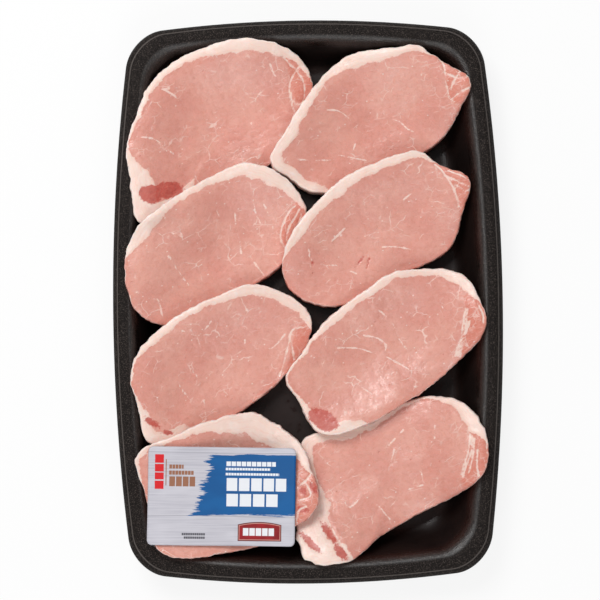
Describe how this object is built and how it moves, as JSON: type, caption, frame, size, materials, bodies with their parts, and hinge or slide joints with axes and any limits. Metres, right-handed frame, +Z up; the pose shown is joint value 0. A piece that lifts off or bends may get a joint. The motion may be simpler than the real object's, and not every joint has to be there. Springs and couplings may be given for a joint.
{
  "type": "meat tray pack",
  "caption": "Open black foam meat tray with boneless pork loin chops shingled in two columns, and a flat card label lying on the last one.",
  "frame": {"origin": "underside of the tray, at its middle", "axes": "+Y along the tray's length, towards the first row laid; +X across it; +Z up out of the tray"},
  "size_m": [0.2418, 0.35, 0.0447],
  "materials": {
    "foam": "satin",
    "raw_meat": "satin",
    "card": "satin"
  },
  "bodies": {
    "root": {"tray": "foam", "chop_left_1": "raw_meat", "chop_left_2": "raw_meat", "chop_left_3": "raw_meat", "chop_left_4": "raw_meat", "chop_right_1": "raw_meat", "chop_right_2": "raw_meat", "chop_right_3": "raw_meat", "chop_right_4": "raw_meat", "label": "card"}
  },
  "joints": []
}
